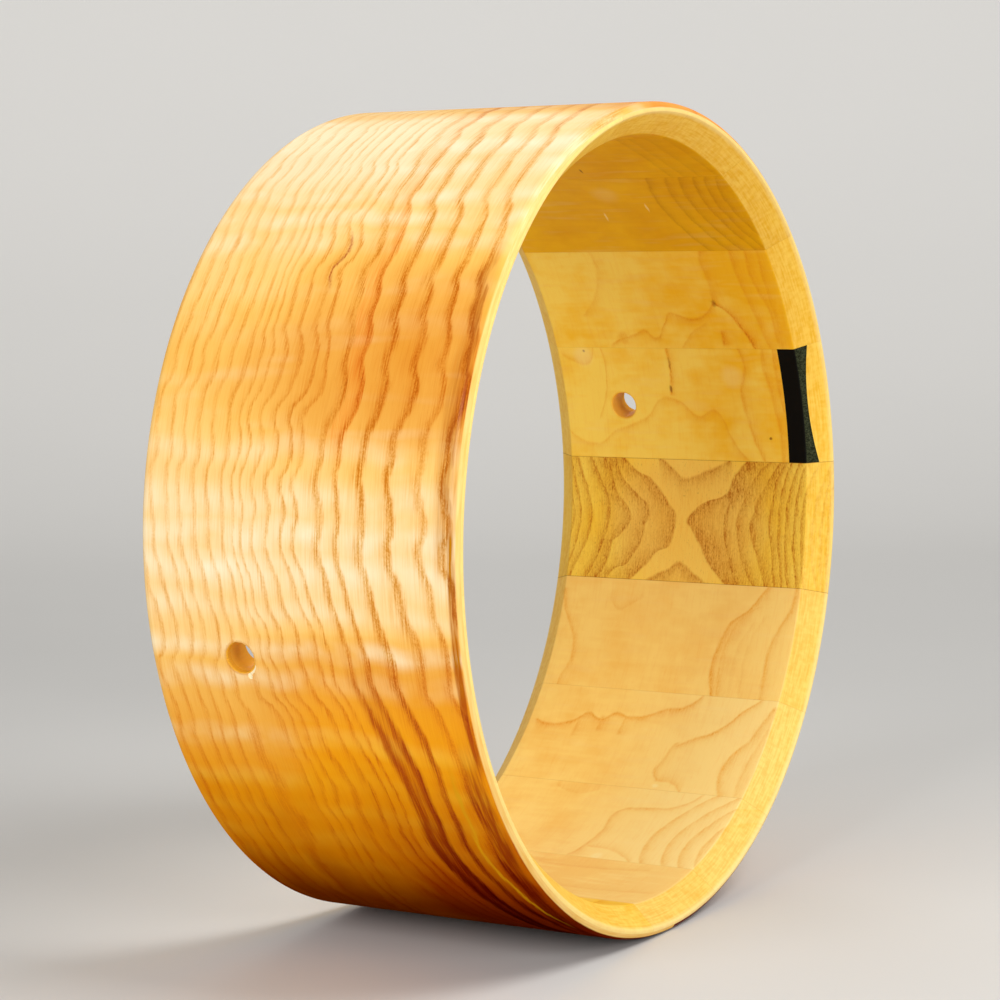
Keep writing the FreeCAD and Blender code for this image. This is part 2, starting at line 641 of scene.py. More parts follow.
def ply_finish():
    """Figured ash under satin lacquer, rings with ripples across, painted sheen near the top and painted
    shade at the foot.
    """
    wood = Finish("figured_ash")
    angle = wood.angle_from(90.0) + 90.0
    x = wood.x
    place = ring_place(wood, angle)

    numbered = [(position, number) for number, position in enumerate(RING_PLACES)]
    count = wood.curve(place, numbered, -RING_REACH, RING_REACH)
    share = (count - 0.1).fraction()
    fibre = wood.grain_noise(0.5, 14.0, 2.0)
    pores = wood.grain_noise(0.42, 3.2, 4.0, detail=1.0)
    stipple = wood.grain_noise(0.55, 1.0, 6.0, detail=1.0)
    patches = wood.noise(place / 7.0, wood.y / 40.0, wood.z / 40.0, detail=1.0)

    darkness = wood.curve(place, RING_DARKNESS, -RING_REACH, RING_REACH) / 100.0
    darkness = darkness * (0.95 + 0.5 * patches)
    soft = share.rise(0.1, 0.78) * (0.8 + 1.1 * fibre)
    core = share.rise(0.5, 0.78) * (1.0 + 1.2 * stipple + 0.9 * fibre)
    strength = darkness * (0.8 + 0.2 * angle.rise(118.0, 146.0))
    ring = ((soft * 0.55 + core * 0.5) * share.rise(1.0, 0.82) * strength).clamped()

    # heart between two of the rings, first above and then below the ring that splits them
    upper = place.rise(8.0, 9.4) * place.rise(16.8, 15.8)
    first_half = 0.5 * angle.rise(84.0, 96.0) + 0.5 * angle.rise(122.0, 138.0)
    upper = upper * first_half * angle.rise(173.0, 162.0)
    heart = (upper * (0.55 + 0.9 * fibre)).clamped()
    foot_side = angle.rise(-50.0, -90.0)
    lower = place.bump_at(14.6, 3.4).at_least(place.bump_at(7.2, 3.8))
    lower = lower + place.bump_at(11.0, 7.5) * 0.7
    lower = lower.at_least(place.bump_at(25.8, 3.2) * 0.7) * (angle.rise(190.0, 208.0) + foot_side)
    twin = (lower * (0.9 + 0.8 * fibre)).clamped()
    front_line = place.rise(57.5, 61.0) * place.rise(64.6, 62.8)
    front_line = front_line * angle.rise(136.0, 146.0) * angle.rise(178.0, 172.0)
    rim_path = 70.6 + wood.grain_noise(400.0, 26.0, 6.0, detail=1.0) * 0.8
    rim = abs(x - rim_path).rise(2.2, 0.6) * angle.rise(170.0, 178.0) * angle.rise(212.0, 204.0)
    edge_shade = x.rise(61.0, 67.0) * angle.rise(148.0, 158.0) * angle.rise(184.0, 176.0) * 0.42
    low_part = angle.rise(200.0, 214.0) + foot_side
    foot = (abs(x - rim_path + 4.5) - 3.0 * patches).rise(5.0, 1.5) * low_part
    rim = rim.at_least(foot).at_least(front_line * 0.7).at_least(edge_shade)
    streak = (rim * (0.85 + 1.1 * wood.grain_noise(0.9, 16.0, 9.0))).clamped()
    dash = place.bump_at(-4.0, 1.0) * angle.rise(134.5, 138.0) * angle.rise(146.0, 142.0)
    glint = place.bump_at(32.5, 1.6) * angle.rise(205.0, 213.0) * angle.rise(246.0, 232.0)
    rosy = x.rise(48.0, 64.0) * angle.rise(60.0, 76.0) * angle.rise(101.0, 90.0)

    bend = wood.grain_noise(24.0, 50.0, 6.5, detail=1.0) * 1.8
    ripple = wood.grain_noise(60.0, 9.0, 7.0, detail=1.0).rise(0.0, 0.7) * 0.3
    for middle, half_width, weight in RIPPLES:
        ripple = ripple.at_least((angle + bend).bump_at(middle, half_width * 1.9) * weight)
    ripple = ripple * (0.55 + 1.1 * wood.grain_noise(20.0, 14.0, 12.0)).clamped()

    # the ash's tone round the drum, partly painted light and shade
    golden = wood.curve(angle, GOLD_ROUND, ROUND_LOW, ROUND_HIGH) / 100.0
    golden = golden * (0.62 + 0.38 * x.rise(-42.0, 6.0) + 0.12 * x.rise(8.0, 36.0))
    golden = (golden + 0.2 * wood.grain_noise(26.0, 30.0, 11.0) - 0.02).clamped()
    # partly the ash's own heartwood tone and partly painted shade: deeper amber down to the foot
    amber = (angle - x.rise(8.0, -26.0) * 7.0).rise(186.0, 208.0) + foot_side
    # painted shade: darker towards the foot, and more so at the front
    lower_shade = angle.rise(198.0, 238.0) * (0.62 + 0.42 * x.rise(-5.0, 24.0) + 0.3 * patches)
    tone = wood.mix((golden * 2.0).clamped(), CREAM_ASH, PALE_ASH)
    tone = wood.mix((golden * 1.6 - 0.6).clamped(), tone, GOLD_ASH)
    tone = wood.mix(amber.clamped(), tone, AMBER_ASH)
    glow_tone = wood.mix(amber.clamped(), RIPPLE_CREAM, RIPPLE_GOLD)
    # painted sheen: a milky cream patch high on the near side, towards the back
    top_sheen = angle.rise(103.0, 111.0) * angle.rise(131.0, 122.0) * x.rise(36.0, -6.0) * 0.4
    glow = (ripple * 0.7).at_least(top_sheen)
    # the curl's pale bands, partly painted sheen, and the painted sheen above
    tone = wood.mix(glow.clamped(), tone, glow_tone)
    # the first two shares are painted shade, deepening down to the foot
    shares = (
        ((lower_shade + foot_side).clamped(), LOWER_SHADE_TINT),
        ((angle.rise(222.0, 244.0) + foot_side) * 0.85, FOOT_SHADE_TINT),
        ((rosy * 0.6).clamped(), ROSE_TINT),
        ((fibre * 0.35 + 0.06).clamped(), LINE_TINT),
        ((heart * 0.6).clamped(), ROSE_TINT),
        ((ring * 1.15).clamped(), LINE_TINT),
        ((ring * ring * 1.1).clamped(), HEAVY_TINT),
        ((twin * 0.85).clamped(), HEART_TINT),
        ((twin * angle.rise(208.0, 232.0)).clamped(), HEART_TINT),
        ((dash * (0.8 + 0.9 * stipple)).clamped(), DASH_TINT),
        (streak, STREAK_TINT),
    )
    for amount, tint in shares:
        tone = wood.mix(amount, tone, tint, "MULTIPLY")
    pore = pores.rise(0.22, 0.6) * (0.1 + ring)
    tone = wood.mix((pore * 0.3).clamped(), tone, PORE_BROWN)
    tone = wood.mix(glint * 0.7, tone, GLINT_GOLD)

    # bare wood in the vent holes, round their rims and where a splinter has come away
    depth = OUTER_RADIUS * MM - wood.radius
    bare = depth.rise(0.06, 0.16) * abs(x).rise(69.4, 69.0)
    holes = [
        wood.hole_distance(VENT_ANGLE + turn, hole_x, OUTER_RADIUS * MM)
        for turn, hole_x in ((0.0, FAR_VENT_X), (180.0, NEAR_VENT_X))
    ]
    away = holes[0].at_most(holes[1])
    # an ochre ring round each vent hole's rim
    ochre_rim = (away + 0.5 * stipple).rise(7.7, 6.9)
    tone = wood.mix((ochre_rim * 0.5).clamped(), tone, RIM_OCHRE)
    inside = wood.mix(away.rise(6.85, 7.2), BORE_BROWN, SPLINTER_CREAM)
    tone = wood.mix(bare, tone, inside)

    # the rounded edges are cut through the figured face into paler wood; towards the top the pale
    # band is also made wider and creamier as a painted sheen
    grain = wood.grain_noise(0.5, 12.0, 15.0)
    cut_wood = wood.mix((0.4 + grain + 0.4 * patches).clamped(), CUT_CREAM, CUT_GOLD)
    # painted sheen: creamier and wider towards the top
    cut_wood = wood.mix(angle.rise(128.0, 100.0) * 0.6, cut_wood, SPLINTER_CREAM)
    cut_and_sheen_depth = depth + 0.2 * grain - 1.6 * angle.rise(135.0, 105.0)
    rounded = cut_and_sheen_depth.rise(0.75, 1.15) * abs(x).rise(69.6, 70.2)
    tone = wood.mix(rounded, tone, cut_wood)

    roughness = 0.44 + 0.1 * ring - 0.08 * ripple + 0.03 * stipple + 0.3 * bare
    # the lacquer shines less towards the foot, which is in shade
    coat = 0.22 - 0.22 * angle.rise(198.0, 232.0) - 0.1 * foot_side
    relief = ripple * 0.06 - pore * 0.03 - ring * 0.012 + fibre * 0.006
    return wood.surface(
        {
            "Base Color": tone,
            "Roughness": roughness.clamped(),
            "Coat Weight": coat.clamped(),
            "Normal": wood.bump(relief),
        },
        {"Specular IOR Level": 0.0, "Coat Roughness": 0.18},
    )


# The staves' finish

PALE_MAPLE = colour(255, 218, 94)
HONEY_MAPLE = colour(250, 191, 30)
# deeper tones for the upper staves: partly their own colour, partly painted shade on the top inside
UPPER_MAPLE = colour(240, 184, 10)
DEEP_MAPLE = colour(228, 164, 0)
SOFT_MAPLE = colour(252, 212, 116)
PINK_MAPLE = colour(246, 192, 90)
CREAM_MAPLE = colour(255, 236, 168)
LINE_ORANGE = colour(238, 148, 30)
INK_TINT = colour(241, 204, 140)
OLIVE_INK = colour(222, 208, 130)
DEEP_INK = colour(196, 132, 60)
DARK_LINE = colour(132, 68, 8)
OLIVE_GOLD = colour(254, 222, 92)
OLIVE_WOOD = colour(252, 202, 44)
CROSS_WOOD = colour(250, 204, 102)
BAND_BROWN = colour(194, 114, 14)
GLUE_BROWN = colour(132, 76, 16)
STAVE_BORE = colour(240, 178, 56)
BEVEL_GOLD = colour(252, 210, 96)
BEVEL_OCHRE = colour(238, 180, 50)
CREST_CREAM = colour(255, 238, 172)

STROKE_REACH = 90.0


class Board:
    """One stave's face: x along the axis and s round the drum from its middle, in millimetres."""

    def __init__(self, name, number):
        start = FIRST_JOINT + EVEN_STAVE * (number - 1)
        span = WIDE_STAVE if number == STAVE_COUNT else EVEN_STAVE
        self.wood = Finish(name)
        self.number = number
        self.shift = number * 7.3
        wobble = self.noise(7.0, 9.0, 2.0) * 0.8 + self.noise(1.6, 2.2, 4.0) * 0.4
        per_degree = math.radians(INNER_RADIUS * MM)
        self.half = span / 2 * per_degree
        self.round_mm = self.wood.angle_from(start + span / 2) * per_degree
        self.x = self.wood.x + wobble
        self.s = self.round_mm + self.noise(8.0, 8.0, 6.0) * 1.0
        # a line is at its full strength this many millimetres past its path
        self.entry = 0.4
        self.marks = []
        self.dark_marks = []
        self.pale_marks = []

    def noise(self, along_mm, round_mm, extra=0.0, detail=2.0):
        return self.wood.grain_noise(along_mm, round_mm, self.shift + extra, detail)

    def draw(self, distance, window, side, width, fade, weight):
        """Adds a line that starts softly on one side and fades out further on the other."""
        off = distance * side
        soft = (off.at_least(0.0) * (-1.0 / fade)).exp()
        self.marks.append(soft * off.rise(-width, self.entry) * window * weight)

    def ends(self, run, points):
        """Fades a stroke out past its ends."""
        first, last = min(points)[0], max(points)[0]
        return run.rise(first - 2.0, first + 0.5) * run.rise(last + 2.0, last - 0.5)

    def across(self, *points, side=1, width=1.5, fade=3.0, weight=0.66):
        """A stroke that runs round the drum, through points (s, x)."""
        path = self.wood.curve(self.s, points, -STROKE_REACH, STROKE_REACH)
        self.draw(self.x - path, self.ends(self.s, points), side, width, fade, weight)

    def along(self, *points, side=1, width=1.5, fade=3.0, weight=0.66):
        """A stroke that runs along the axis, through points (x, s)."""
        path = self.wood.curve(self.x, points, -STROKE_REACH, STROKE_REACH)
        self.draw(self.s - path, self.ends(self.x, points), side, width, fade, weight)

    def cups(self, bottoms, middle, bend, width=1.1, fade=3.0, weight=0.55):
        """Lines that hang like cups towards the back, nested inside each other."""
        lean = self.s - middle
        level = self.x - lean * lean * bend
        for bottom in bottoms:
            self.draw(level - bottom, 1.0, 1, width, fade, weight)

    def spot(self, s, x, size, weight=1.0, marks=None, length=1.0):
        """A pin knot, a fleck or a patch, which may be longer round the drum than it is wide."""
        round_way = (self.s - s) / length
        out = (round_way * round_way + (self.x - x) * (self.x - x)) ** 0.5
        marks = self.marks if marks is None else marks
        marks.append(out.rise(size, size * 0.3) * weight)

    def total(self, marks):
        """All of the marks together, the strongest at each place."""
        if not marks:
            return 0.0
        together = marks[0]
        for mark in marks[1:]:
            together = together.at_least(mark)
        return together

    def worked(self, tone, glue_share, cover=0.72):
        """Adds the sloping cuts, the glue lines and the walls of a vent hole to a tone."""
        wood = self.wood
        bevel = wood.radius.rise(INNER_RADIUS * MM + 0.1, INNER_RADIUS * MM + 0.5)
        lines = self.noise(0.55, 11.0, 21.0) + 0.7 * self.noise(30.0, 2.2, 22.0)
        cut_wood = wood.mix((0.45 + 1.3 * lines).clamped(), BEVEL_GOLD, BEVEL_OCHRE)
        cut_wood = wood.mix(abs(wood.x).rise(72.3, 73.9) * 0.6, cut_wood, CREST_CREAM)
        tone = wood.mix(bevel * cover, tone, cut_wood)
        joint = abs(self.round_mm).rise(self.half - 0.32, self.half - 0.1) * glue_share
        ply_line = wood.radius.rise(CORE_RADIUS * MM - 0.14, CORE_RADIUS * MM - 0.04) * 0.25
        tone = wood.mix(joint.at_least(ply_line), tone, GLUE_BROWN)
        holes = {1: (VENT_ANGLE, FAR_VENT_X), 10: (VENT_ANGLE + 180.0, NEAR_VENT_X)}
        if self.number in holes:
            away = wood.hole_distance(*holes[self.number], INNER_RADIUS * MM)
            tone = wood.mix(away.rise(7.6, 6.9) * 0.35, tone, STAVE_BORE)
            bored = wood.radius.rise(INNER_RADIUS * MM + 0.12, INNER_RADIUS * MM + 0.4)
            tone = wood.mix(away.rise(7.0, 6.8) * bored * 0.9, tone, STAVE_BORE)
        return tone


def maple_finish(board, pale, honey, lean=0.0, front=0.0):
    """Plain maple with its drawn figure, curl across the grain, flecks and fine fibre."""
    wood = board.wood
    blotch = board.noise(22.0, 26.0, 1.0)
    mottle = board.noise(8.0, 6.0, 12.0)
    curl = board.noise(26.0, 3.4, 3.0, detail=1.0)
    fibre = board.noise(0.5, 8.0, 5.0)
    streaks = board.noise(1.6, 22.0, 8.0)
    stipple = board.noise(0.5, 1.2, 11.0, detail=1.0)
    fleck = board.noise(0.6, 2.6, 7.0, detail=1.0).rise(0.3, 0.6)
    patchy = (0.85 + 0.6 * board.noise(9.0, 9.0, 9.0)).clamped()
    ink = board.total(board.marks) * patchy * (1.1 + 0.8 * stipple + 0.5 * fibre)
    towards_front = wood.x.rise(-30.0, 60.0)
    # painted light: with a negative front, the stave grows paler towards the front, lit through the mouth
    depth = 0.42 + lean + 1.0 * blotch + 0.5 * mottle + 0.45 * curl + front * towards_front
    tone = wood.mix(depth.clamped(), pale, honey)
    # painted light: paler still towards the front
    if front < 0.0:
        tone = wood.mix(towards_front * -front, tone, CREAM_MAPLE)
    tone = wood.mix((curl.rise(0.0, 0.6) * 0.12).clamped(), tone, CREAM_MAPLE)
    tone = wood.mix((streaks * 0.14 + fibre * 0.2 + fleck * 0.12).clamped(), tone, LINE_ORANGE)
    tint = OLIVE_INK if board.number in (3, 4) else INK_TINT
    tone = wood.mix((ink * 1.1).clamped(), tone, tint, "MULTIPLY")
    tone = wood.mix(((ink - 0.8) * 0.8).clamped(), tone, DEEP_INK, "MULTIPLY")
    if board.dark_marks:
        tone = wood.mix((board.total(board.dark_marks) * 0.95).clamped(), tone, DARK_LINE)
    if board.pale_marks:
        tone = wood.mix((board.total(board.pale_marks) * 0.6).clamped(), tone, CREAM_MAPLE)
    tone = board.worked(tone, 0.08)
    relief = curl * 0.012 - fleck * 0.012 - ink * 0.006 + fibre * 0.005
    return wood.surface(
        {
            "Base Color": tone,
            "Roughness": (0.5 + 0.06 * blotch + 0.06 * fibre).clamped(),
            "Normal": wood.bump(relief),
        },
        {"Specular IOR Level": 0.1, "Coat Weight": 0.05, "Coat Roughness": 0.25},
    )


def first_stave(board):
    """The stave with the strip: a long wandering contour, a bark streak and two pin knots."""
    board.across((29, 53), (12, 52.6), (-3, 54.5))
    board.across((29, 47.5), (20, 46.5), (8, 48.5), (-10, 51), (-29, 52.5), weight=0.55)
    board.across((29, 34.8), (20, 36.5), (5.5, 33.2), (-8, 35.3), (-29, 42.3), fade=1.6)
    board.along(
        (34, -28), (25.7, -18), (21.5, -8), (17.3, -3.7), (9, -7), (-1, 0.5), (-9.3, 2), (-17.7, -6.2),
        (-26, -11.2), (-36, -14.5), (-49.3, -22), (-62.7, -16.2), side=-1, fade=2.4, weight=0.5,
    )
    board.across((29, -3.5), (17, -3.2), (4.6, -4.7), fade=1.5, weight=1.0)
    board.across((29, -40), (20.4, -39), (9, -40), (-8.2, -46), width=0.4, fade=0.7)
    board.along((-44, 27), (-47.7, 20.5), (-56, 21.3), (-61, 23.9), fade=2.0, weight=0.45)
    board.spot(7.0, -4.6, 1.1, 0.8, board.dark_marks, length=2.4)
    board.spot(20.0, -3.3, 0.9, 0.45, board.dark_marks, length=6.0)
    board.spot(-17.0, 46.5, 1.0, 0.9, board.dark_marks)
    board.spot(26.8, -49.3, 1.0, 0.9, board.dark_marks)
    board.spot(24.0, -50.0, 7.0, 0.5, board.pale_marks)
    board.spot(14.0, 29.0, 8.0, 0.4, board.pale_marks)


def second_stave(board):
    """Lines near the front, and a knot that throws one heavy line and one ragged one."""
    board.across((29, 59.5), (0, 57.5), (-15, 58.5), (-29, 58), weight=0.5)
    board.across((29, 53.5), (10, 52), (-8, 56), (-25, 56.5), weight=0.55)
    board.across((29, 45.7), (15, 44.8), (-5, 47), (-29, 52), weight=0.55)
    board.across((29, 30.5), (22, 28.5), (10, 28.7), (-3.4, 28.2), weight=0.5)
    board.across((-3.4, 28.5), (-8.4, 34), (-16.7, 39), (-29, 44.5), fade=2.2, weight=1.35)
    board.across((-19.3, 28.3), (-26, 28.2), weight=0.9)
    board.along(
        (28, -3.4), (15.7, -12.6), (5.7, -10), (3.2, -9.2), (-1.8, -16.6), (-7.7, -23.3),
        (-12.7, -19.2), (-19.3, -21.7), (-26, -23.3), (-31.8, -26.7), side=-1, fade=1.8, weight=0.75,
    )
    board.along((21, -15), (17, -17.5), (13, -20), (6, -28), side=-1, fade=2.5, weight=0.45)
    board.across((29, -29), (23, -27.7), (13, -29), (2, -34), (-10, -42.7), weight=0.35)
    board.spot(-23.0, -25.0, 5.0, 0.5)
    board.spot(-3.4, 28.2, 1.6, 0.55, board.dark_marks, length=1.6)


def third_stave(board):
    """Nested cups at the front, two pale nicks and a pale patch."""
    board.cups((57.0, 51.5, 46.0, 39.0, 32.0, 22.5), 9.0, 0.0095, weight=0.6, fade=2.2)
    board.spot(2.8, 15.0, 0.7, 0.9, board.pale_marks, length=6.0)
    board.spot(-3.8, -9.0, 0.7, 0.9, board.pale_marks, length=6.0)
    board.spot(14.0, -2.0, 9.0, 0.25, board.pale_marks)


def fourth_stave(board):
    """Faint, wide cups and one short dark mark."""
    board.cups((59.0, 50.0, 42.0, 36.0), 0.0, 0.004, weight=0.35)
    board.spot(-20.0, -3.0, 0.8, 0.8, board.dark_marks, length=4.0)


def seventeenth_stave(board):
    """Broad hanging curves at the front and one low arch at the back."""
    board.across((29, 62), (18.7, 60.7), (5.4, 54.8), (-6.2, 52.3), (-18, 53.2), (-29, 54), fade=1.8)
    board.across(
        (29, 47.5), (17, 39), (8.8, 29.8), (-1.3, 26.5), (-11.3, 24.8), (-29, 28.2), fade=2.2, weight=0.75
    )
    board.across((18, 43), (10, 33.5), (-1.3, 29.5), (-11.3, 28.6), (-29, 31), weight=0.5)
    board.across((14, 48), (0, 42), (-15, 41), (-29, 43), weight=0.22, fade=2.5)
    board.across((10, 42), (-5, 36), (-29, 37), weight=0.22, fade=2.5)
    board.across(
        (22, -63.5), (15.4, -62.7), (2, -56), (-6.2, -52.7), (-14.6, -52.2), (-23, -54.7), (-29, -55.7),
        fade=2.0, weight=0.55,
    )
    board.along((-20, 20), (-26, 16), (-31, 13.5), (-36, 17), weight=0.3)


def sixteenth_stave(board):
    """A deep tongue at the front and a ragged line with teeth down one side."""
    board.along((56, 29), (49, 22.5), (39, 10.9), (27.3, 4.2), (19, -0.8), side=-1, fade=2.0, weight=0.75)
    board.across((1, 19), (-0.8, 18), (-10.8, 15.7), (-16.6, 14), (-22, 17), fade=2.0, weight=0.6)
    board.along((17.3, -22.5), (25.7, -23.3), (31.5, -28.5), weight=0.5)
    board.across((24, 62.3), (15.9, 59), (5.9, 55.7), (-2.5, 49.8), (-14.1, 47.3), (-29, 52.3))
    board.across((12.6, 63), (-0.8, 59.8), (-10.8, 58.5), (-29, 59.8), weight=0.4)
    board.along(
        (24, 27.6), (15.7, 20.8), (7.3, 19.2), (-2.7, 14.2), (-11, 13.4), (-17.7, 15), (-26, 10.8),
        (-32.7, 14.1), (-39.3, 9.2), (-51, 5.8), (-59.3, 7.5), side=-1, fade=2.2, weight=0.8,
    )
    board.across((13, -13), (4, -13.3), weight=0.6)
    board.across((12, -25), (5, -25.3), weight=0.6)
    board.across((9, -37), (1, -37.5), weight=0.5)
    board.spot(-26.0, 18.0, 2.2, 0.8, board.pale_marks, length=0.8)


def fifteenth_stave(board):
    """Deep cups at the front, and thin lines that lead back from them."""
    board.cups((60.0, 51.5, 43.0, 32.3), -8.7, 0.014, weight=0.6)
    board.along((44, 27.2), (34, 18), (20.7, 15.5), (10.7, 13.9), side=-1, fade=1.6, weight=0.6)
    board.across((14, 10.7), (9.7, 6.5), (-3.6, 6.5), (-17, 4), (-27, 0.7), fade=1.8, weight=0.6)
    board.along((32, -28.6), (24, -21.9), (14, -18.6), (5.7, -18.6), weight=0.45)
    board.along((-10, 25), (-20, 22), (-32, 26), weight=0.35)
    board.spot(-26.0, 14.0, 4.0, 0.7, board.pale_marks)


def fourteenth_stave(board):
    """Two faint lines along the stave at the bottom."""
    board.along((45, 22), (10, 18), (-25, 21), (-60, 17), weight=0.3, fade=2.5)
    board.along((60, -5), (20, -9), (-20, -4), (-60, -8), weight=0.25, fade=2.5)


def quiet_stave(board):
    """A plain stave: a few soft level lines of its own."""
    level = board.x * 0.9 + board.s * board.s * 0.009 + board.noise(60.0, 45.0, 8.0) * 26.0
    share = (level / 17.0).fraction()
    board.marks.append((share * -5.0).exp() * share.rise(0.0, 0.05) * 0.6)


# What is drawn on each stave that can be seen in the mouth of the shell, with its two tones, how
# far it leans to the second of them, and how much deeper, or paler, it grows towards the front.
# The paler front of the lower staves is painted light, falling in at the mouth.
FIGURES = {
    1: (first_stave, PALE_MAPLE, HONEY_MAPLE, -0.3, 0.5),
    2: (second_stave, PALE_MAPLE, HONEY_MAPLE, -0.05, 0.5),
    # staves 3 to 5, high inside the shell, take deeper tones, partly painted shade
    3: (third_stave, UPPER_MAPLE, DEEP_MAPLE, -0.1, 0.3),
    4: (fourth_stave, UPPER_MAPLE, DEEP_MAPLE, 0.2, 0.2),
    5: (quiet_stave, UPPER_MAPLE, DEEP_MAPLE, 0.2, 0.2),
    14: (fourteenth_stave, PINK_MAPLE, SOFT_MAPLE, -0.1, -0.35),
    15: (fifteenth_stave, SOFT_MAPLE, PINK_MAPLE, -0.1, -0.6),
    16: (sixteenth_stave, SOFT_MAPLE, PINK_MAPLE, -0.1, -0.45),
    17: (seventeenth_stave, SOFT_MAPLE, PINK_MAPLE, -0.15, -0.15),
}


def cathedral_figure(board):
    """Rings that turn back from a pale cross at the middle, dark next to it and fading away.

    Each ring is its points (s, x), how far it fades out, and how dark it is.
    """
    towards_front = (
        (((30, 32), (22.9, 26), (13, 20), (10.5, 12), (6, 5), (0, 0.5), (-4, 3), (-11, 8), (-17, 11),
          (-23, 16), (-31, 24)), 15.0, 0.95),
        (((31, 38), (22.9, 29), (11.5, 24), (4, 21), (0, 20.5), (-11.5, 22), (-20, 25), (-31, 30)),
         3.5, 0.9),
        (((31, 45), (22.9, 37), (11.5, 31), (5, 28), (0, 26.5), (-11.5, 29), (-22.9, 33), (-31, 38.5)),
         4.5, 0.9),
        (((31, 50), (22.9, 45), (11.5, 38), (5, 36), (0, 34), (-8, 35.5), (-22.9, 41.5), (-31, 44)),
         5.0, 0.9),
        (((31, 54), (22.9, 49), (11.5, 46), (0, 44.5), (-11.5, 46.5), (-22.9, 48), (-31, 50)), 2.2, 0.85),
        (((31, 57), (22.9, 53), (11.5, 50), (0, 49.3), (-11.5, 49.7), (-22.9, 52), (-31, 53)), 1.8, 0.85),
        (((31, 61), (22.9, 57.5), (11.5, 54), (0, 53.3), (-11.5, 53.3), (-22.9, 55), (-31, 57)), 1.8, 0.8),
        (((31, 65), (22.9, 61), (11.5, 58.5), (0, 57.5), (-11.5, 57.5), (-22.9, 60), (-31, 61)), 1.8, 0.8),
        (((31, 69), (11.5, 62.5), (0, 61.5), (-11.5, 61.7), (-31, 65)), 1.8, 0.75),
        (((31, 74), (0, 66), (-31, 70)), 1.8, 0.7),
        (((31, 75), (0, 69.5), (-31, 72)), 1.0, 0.9),
        (((31, 76), (0, 72), (-31, 73.5)), 1.0, 0.9),
    )
    towards_back = (
        (((31, -34), (24, -27), (20, -19), (12, -12), (8, -9), (2, -5.5), (-6, -6.5), (-11.5, -7.5),
          (-14, -9.5), (-16, -15), (-22.9, -20.5), (-31, -29)), 9.0, 0.9),
        (((31, -38), (22.9, -36), (15, -30), (11.5, -26), (8, -21.5), (3, -20), (-3, -22), (-11.5, -24),
          (-18, -27.5), (-22.9, -31), (-24.5, -36), (-31, -42)), 6.5, 0.9),
        (((31, -43.5), (22.9, -40.5), (11.5, -37), (6, -32), (0, -30), (-4, -32), (-9, -36), (-11.5, -39),
          (-22.9, -42), (-31, -47)), 6.5, 0.9),
        (((31, -52), (22.9, -49), (11.5, -43.5), (0, -42), (-11.5, -45), (-22.9, -49), (-31, -53)),
         3.0, 0.85),
        (((31, -60), (22.9, -58), (11.5, -54), (0, -52), (-11.5, -54), (-22.9, -59), (-31, -62)), 2.8, 0.7),
        (((31, -64.5), (11.5, -60), (0, -58.3), (-11.5, -60), (-22.9, -63), (-31, -65.5)), 1.8, 0.7),
        (((31, -67), (11.5, -63.5), (0, -62), (-11.5, -64.5), (-31, -69)), 1.8, 0.65),
    )
    for side, rings in ((1, towards_front), (-1, towards_back)):
        for points, fade, weight in rings:
            thin = fade < 4.0
            board.entry = 0.6 if thin else 1.1
            weight *= 1.15 if thin else 1.1
            board.across(*points, side=side, fade=fade * 1.15, weight=weight, width=0.8)
    board.along(
        (24, 31), (21.5, 29), (17, 27), (10, 24), (4, 22), (-2, 20.5), (-6, 24), (-11, 28), (-14, 31),
        side=-1, fade=5.0, weight=0.85,
    )
    board.along(
        (14, -31), (6, -26), (0, -22), (-3, -21), (-8, -25), (-15, -28), (-20, -31),
        side=-1, fade=7.0, weight=0.85,
    )


def cathedral_finish(board):
    """The bold stave, of coarser wood than the others, with open pores."""
    wood = board.wood
    cathedral_figure(board)
    fibre = board.noise(0.45, 6.0, 5.0)
    grit = board.noise(0.5, 1.3, 7.0, detail=1.0)
    patchy = (0.9 + 0.4 * board.noise(9.0, 12.0, 9.0)).clamped()
    band = board.total(board.marks) * patchy * (0.95 + 0.75 * fibre + 0.9 * grit)
    x, s = board.x, board.s
    red = (x * x + s * s).rise(2600.0, 400.0)
    tone = wood.mix((0.4 + 0.9 * board.noise(20.0, 30.0, 1.0)).clamped(), OLIVE_GOLD, OLIVE_WOOD)
    tone = wood.mix((red * 0.65).clamped(), tone, CROSS_WOOD)
    tone = wood.mix((fibre * 0.35 + 0.05).clamped(), tone, LINE_ORANGE)
    tone = wood.mix((band * (0.98 - 0.2 * red)).clamped(), tone, BAND_BROWN)
    tone = wood.mix(((band - 0.75) * 0.5).clamped(), tone, DARK_LINE)
    tone = wood.mix((grit.rise(0.28, 0.6) * 0.3).clamped(), tone, DARK_LINE)
    tone = board.worked(tone, 0.6, 0.62)
    relief = fibre * 0.008 - grit.rise(0.3, 0.6) * 0.02
    return wood.surface(
        {
            "Base Color": tone,
            "Roughness": (0.52 + 0.1 * band).clamped(),
            "Normal": wood.bump(relief),
        },
        {"Specular IOR Level": 0.1, "Coat Weight": 0.04, "Coat Roughness": 0.3},
    )


def stave_finish(number):
    board = Board(f"stave_wood_{number:02d}", number)
    if number == STAVE_COUNT:
        return cathedral_finish(board)
    draw, *tones = FIGURES.get(number, (quiet_stave, PALE_MAPLE, HONEY_MAPLE))
    draw(board)
    return maple_finish(board, *tones)


# The black strip's finish

STRIP_BLACK = colour(3, 2, 2)
STRIP_BROWN = colour(10, 8, 6)
STRIP_OLIVE = colour(26, 30, 12)
STRIP_GREY = colour(76, 82, 58)


